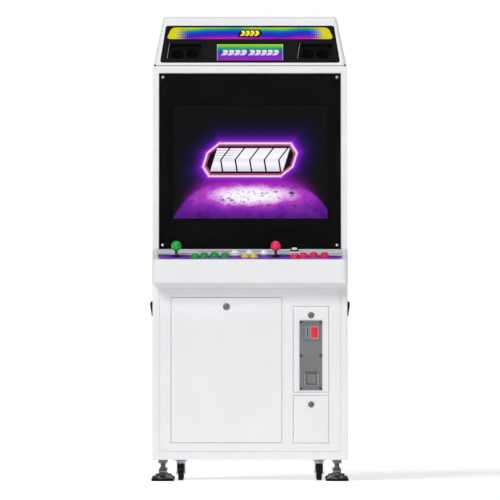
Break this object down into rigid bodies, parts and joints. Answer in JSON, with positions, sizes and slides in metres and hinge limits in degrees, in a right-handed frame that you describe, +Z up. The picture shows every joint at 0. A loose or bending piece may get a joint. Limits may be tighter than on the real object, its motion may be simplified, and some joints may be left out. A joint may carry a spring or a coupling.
{
  "type": "arcade cabinet",
  "caption": "Upright two-player arcade cabinet: steel base on feet and casters, sloping control panel with joysticks and buttons, tilted display, hood with marquee and speakers.",
  "frame": {"origin": "on the floor, in the middle of the bounding box's footprint", "axes": "+Z up, front (the players' side) is -Y, +X to the right of a player facing the screen"},
  "size_m": [0.689, 0.72, 1.6],
  "materials": {
    "white_paint": "semi-gloss powder coat",
    "white_shell": "semi-gloss moulding",
    "grey_plate": "fine satin paint",
    "black_plastic": "fine moulded texture",
    "black_face": "satin acrylic with printed band",
    "dark_glass": "polished, black printed border",
    "display": "lit display in a dark case",
    "panel_overlay": "printed overlay, satin",
    "zinc_steel": "zinc plated",
    "chrome_lock": "polished",
    "foot_metal": "satin plated, rubber base",
    "rubber_wheel": "smooth tread",
    "green_plastic": "polished",
    "red_plastic": "polished",
    "yellow_plastic": "polished",
    "white_plastic": "polished",
    "clear_plastic": "polished, coloured per button",
    "circuit_board": "solder resist",
    "grey_case": "satin"
  },
  "bodies": {
    "cabinet": {"base_shell": "white_paint", "base_front_frame": "white_paint", "cash_box": "zinc_steel", "game_board": "circuit_board", "power_supply": "grey_case", "side_handles": "black_plastic", "mounting_hardware": "zinc_steel", "monitor_housing": "white_paint", "monitor_glass": "dark_glass", "lcd_displays": "display", "rear_panel": "white_paint", "marquee_hood": "white_shell", "marquee_face": "black_face", "speakers": "black_plastic", "control_box": "white_paint"},
    "service_door": {"service_door": "white_paint"},
    "coin_door": {"coin_door": "white_paint", "coin_plate": "grey_plate", "coin_mechanism": "black_plastic"},
    "cash_door": {"cash_door": "white_paint"},
    "control_panel": {"control_panel": "panel_overlay", "button_housings": "clear_plastic", "joystick_housings": "black_plastic"},
    "p1_stick_gimbal": {"p1_stick_gimbal": "zinc_steel"},
    "p1_stick": {"p1_stick_lever": "zinc_steel", "p1_stick_ball": "green_plastic"},
    "p2_stick_gimbal": {"p2_stick_gimbal": "zinc_steel"},
    "p2_stick": {"p2_stick_lever": "zinc_steel", "p2_stick_ball": "red_plastic"},
    "service_lock": {"service_lock": "chrome_lock"},
    "coin_lock": {"coin_lock": "chrome_lock"},
    "cash_lock": {"cash_lock": "chrome_lock"},
    "coin_return_flap": {"coin_return_flap": "grey_plate"},
    "coin_reject_button": {"coin_reject_button": "red_plastic"},
    "caster_fork_front_left": {"caster_fork_front_left": "zinc_steel"},
    "caster_fork_front_right": {"caster_fork_front_right": "zinc_steel"},
    "caster_fork_rear_left": {"caster_fork_rear_left": "zinc_steel"},
    "caster_fork_rear_right": {"caster_fork_rear_right": "zinc_steel"},
    "caster_wheel_front_left": {"caster_wheel_front_left": "rubber_wheel"},
    "caster_wheel_front_right": {"caster_wheel_front_right": "rubber_wheel"},
    "caster_wheel_rear_left": {"caster_wheel_rear_left": "rubber_wheel"},
    "caster_wheel_rear_right": {"caster_wheel_rear_right": "rubber_wheel"},
    "foot_front_left": {"foot_front_left": "foot_metal"},
    "foot_front_right": {"foot_front_right": "foot_metal"},
    "foot_rear_left": {"foot_rear_left": "foot_metal"},
    "foot_rear_right": {"foot_rear_right": "foot_metal"},
    "p1_button_1": {"p1_button_1": "green_plastic"},
    "p1_button_2": {"p1_button_2": "green_plastic"},
    "p1_button_3": {"p1_button_3": "green_plastic"},
    "p1_button_4": {"p1_button_4": "green_plastic"},
    "p2_button_1": {"p2_button_1": "red_plastic"},
    "p2_button_2": {"p2_button_2": "red_plastic"},
    "p2_button_3": {"p2_button_3": "red_plastic"},
    "p2_button_4": {"p2_button_4": "red_plastic"},
    "start_button_left": {"start_button_left": "yellow_plastic"},
    "start_button_right": {"start_button_right": "yellow_plastic"},
    "menu_button_left": {"menu_button_left": "white_plastic"},
    "menu_button_middle": {"menu_button_middle": "white_plastic"},
    "menu_button_right": {"menu_button_right": "white_plastic"},
    "service_button": {"service_button": "white_plastic"}
  },
  "joints": [
    {"name": "service_door_hinge", "type": "hinge", "parent": "cabinet", "child": "service_door", "pos_m": [0, -0.24, 0.151], "axis": [1, 0, 0], "range_deg": [0, 90]},
    {"name": "coin_door_hinge", "type": "hinge", "parent": "cabinet", "child": "coin_door", "pos_m": [0, -0.24, 0.325], "axis": [1, 0, 0], "range_deg": [0, 90]},
    {"name": "cash_door_hinge", "type": "hinge", "parent": "cabinet", "child": "cash_door", "pos_m": [0, -0.24, 0.15], "axis": [1, 0, 0], "range_deg": [0, 90]},
    {"name": "control_panel_hinge", "type": "hinge", "parent": "cabinet", "child": "control_panel", "pos_m": [0, -0.3296, 0.76282], "axis": [1, 0, 0], "range_deg": [0, 50]},
    {"name": "p1_stick_forward", "type": "hinge", "parent": "control_panel", "child": "p1_stick_gimbal", "pos_m": [-0.253, -0.30574, 0.75013], "axis": [1, 0, 0], "range_deg": [-7, 7], "stiffness_Nm_per_rad": 1},
    {"name": "p1_stick_sideways", "type": "hinge", "parent": "p1_stick_gimbal", "child": "p1_stick", "pos_m": [-0.253, -0.30574, 0.75013], "axis": [0, 0.9816, 0.1908], "range_deg": [-7, 7], "stiffness_Nm_per_rad": 1},
    {"name": "p2_stick_forward", "type": "hinge", "parent": "control_panel", "child": "p2_stick_gimbal", "pos_m": [0.088, -0.30574, 0.75013], "axis": [1, 0, 0], "range_deg": [-7, 7], "stiffness_Nm_per_rad": 1},
    {"name": "p2_stick_sideways", "type": "hinge", "parent": "p2_stick_gimbal", "child": "p2_stick", "pos_m": [0.088, -0.30574, 0.75013], "axis": [0, 0.9816, 0.1908], "range_deg": [-7, 7], "stiffness_Nm_per_rad": 1},
    {"name": "service_lock_turn", "type": "hinge", "parent": "service_door", "child": "service_lock", "pos_m": [-0.081, -0.245, 0.6], "axis": [0, -1, 0], "range_deg": [0, 90]},
    {"name": "coin_lock_turn", "type": "hinge", "parent": "coin_door", "child": "coin_lock", "pos_m": [0.21, -0.245, 0.571], "axis": [0, -1, 0], "range_deg": [0, 90]},
    {"name": "cash_lock_turn", "type": "hinge", "parent": "cash_door", "child": "cash_lock", "pos_m": [0.21, -0.245, 0.264], "axis": [0, -1, 0], "range_deg": [0, 90]},
    {"name": "coin_return_flap_hinge", "type": "hinge", "parent": "coin_door", "child": "coin_return_flap", "pos_m": [0.211, -0.2455, 0.3695], "axis": [1, 0, 0], "range_deg": [0, 60]},
    {"name": "coin_reject_press", "type": "slide", "parent": "coin_door", "child": "coin_reject_button", "axis": [0, 1, 0], "range_m": [0, 0.003], "stiffness_N_per_m": 400, "springref_m": -0.002},
    {"name": "caster_swivel_front_left", "type": "hinge", "parent": "cabinet", "child": "caster_fork_front_left", "pos_m": [-0.238, -0.135, 0.062], "axis": [0, 0, 1], "continuous": true},
    {"name": "caster_swivel_front_right", "type": "hinge", "parent": "cabinet", "child": "caster_fork_front_right", "pos_m": [0.238, -0.135, 0.062], "axis": [0, 0, 1], "continuous": true},
    {"name": "caster_swivel_rear_left", "type": "hinge", "parent": "cabinet", "child": "caster_fork_rear_left", "pos_m": [-0.238, 0.25, 0.062], "axis": [0, 0, 1], "continuous": true},
    {"name": "caster_swivel_rear_right", "type": "hinge", "parent": "cabinet", "child": "caster_fork_rear_right", "pos_m": [0.238, 0.25, 0.062], "axis": [0, 0, 1], "continuous": true},
    {"name": "caster_roll_front_left", "type": "hinge", "parent": "caster_fork_front_left", "child": "caster_wheel_front_left", "pos_m": [-0.238, -0.153, 0.027], "axis": [1, 0, 0], "continuous": true},
    {"name": "caster_roll_front_right", "type": "hinge", "parent": "caster_fork_front_right", "child": "caster_wheel_front_right", "pos_m": [0.238, -0.153, 0.027], "axis": [1, 0, 0], "continuous": true},
    {"name": "caster_roll_rear_left", "type": "hinge", "parent": "caster_fork_rear_left", "child": "caster_wheel_rear_left", "pos_m": [-0.238, 0.232, 0.027], "axis": [1, 0, 0], "continuous": true},
    {"name": "caster_roll_rear_right", "type": "hinge", "parent": "caster_fork_rear_right", "child": "caster_wheel_rear_right", "pos_m": [0.238, 0.232, 0.027], "axis": [1, 0, 0], "continuous": true},
    {"name": "foot_height_front_left", "type": "slide", "parent": "cabinet", "child": "foot_front_left", "axis": [0, 0, 1], "range_m": [-0.005, 0.012]},
    {"name": "foot_height_front_right", "type": "slide", "parent": "cabinet", "child": "foot_front_right", "axis": [0, 0, 1], "range_m": [-0.005, 0.012]},
    {"name": "foot_height_rear_left", "type": "slide", "parent": "cabinet", "child": "foot_rear_left", "axis": [0, 0, 1], "range_m": [-0.005, 0.012]},
    {"name": "foot_height_rear_right", "type": "slide", "parent": "cabinet", "child": "foot_rear_right", "axis": [0, 0, 1], "range_m": [-0.005, 0.012]},
    {"name": "p1_button_1_press", "type": "slide", "parent": "control_panel", "child": "p1_button_1", "axis": [0, 0.1908, -0.9816], "range_m": [0, 0.0035], "stiffness_N_per_m": 250, "springref_m": -0.003},
    {"name": "p1_button_2_press", "type": "slide", "parent": "control_panel", "child": "p1_button_2", "axis": [0, 0.1908, -0.9816], "range_m": [0, 0.0035], "stiffness_N_per_m": 250, "springref_m": -0.003},
    {"name": "p1_button_3_press", "type": "slide", "parent": "control_panel", "child": "p1_button_3", "axis": [0, 0.1908, -0.9816], "range_m": [0, 0.0035], "stiffness_N_per_m": 250, "springref_m": -0.003},
    {"name": "p1_button_4_press", "type": "slide", "parent": "control_panel", "child": "p1_button_4", "axis": [0, 0.1908, -0.9816], "range_m": [0, 0.0035], "stiffness_N_per_m": 250, "springref_m": -0.003},
    {"name": "p2_button_1_press", "type": "slide", "parent": "control_panel", "child": "p2_button_1", "axis": [0, 0.1908, -0.9816], "range_m": [0, 0.0035], "stiffness_N_per_m": 250, "springref_m": -0.003},
    {"name": "p2_button_2_press", "type": "slide", "parent": "control_panel", "child": "p2_button_2", "axis": [0, 0.1908, -0.9816], "range_m": [0, 0.0035], "stiffness_N_per_m": 250, "springref_m": -0.003},
    {"name": "p2_button_3_press", "type": "slide", "parent": "control_panel", "child": "p2_button_3", "axis": [0, 0.1908, -0.9816], "range_m": [0, 0.0035], "stiffness_N_per_m": 250, "springref_m": -0.003},
    {"name": "p2_button_4_press", "type": "slide", "parent": "control_panel", "child": "p2_button_4", "axis": [0, 0.1908, -0.9816], "range_m": [0, 0.0035], "stiffness_N_per_m": 250, "springref_m": -0.003},
    {"name": "start_button_left_press", "type": "slide", "parent": "control_panel", "child": "start_button_left", "axis": [0, 0.1908, -0.9816], "range_m": [0, 0.0035], "stiffness_N_per_m": 250, "springref_m": -0.003},
    {"name": "start_button_right_press", "type": "slide", "parent": "control_panel", "child": "start_button_right", "axis": [0, 0.1908, -0.9816], "range_m": [0, 0.0035], "stiffness_N_per_m": 250, "springref_m": -0.003},
    {"name": "menu_button_left_press", "type": "slide", "parent": "control_panel", "child": "menu_button_left", "axis": [0, 0.1908, -0.9816], "range_m": [0, 0.0035], "stiffness_N_per_m": 250, "springref_m": -0.003},
    {"name": "menu_button_middle_press", "type": "slide", "parent": "control_panel", "child": "menu_button_middle", "axis": [0, 0.1908, -0.9816], "range_m": [0, 0.0035], "stiffness_N_per_m": 250, "springref_m": -0.003},
    {"name": "menu_button_right_press", "type": "slide", "parent": "control_panel", "child": "menu_button_right", "axis": [0, 0.1908, -0.9816], "range_m": [0, 0.0035], "stiffness_N_per_m": 250, "springref_m": -0.003},
    {"name": "service_button_press", "type": "slide", "parent": "control_panel", "child": "service_button", "axis": [0, 0.1908, -0.9816], "range_m": [0, 0.0035], "stiffness_N_per_m": 250, "springref_m": -0.003}
  ]
}
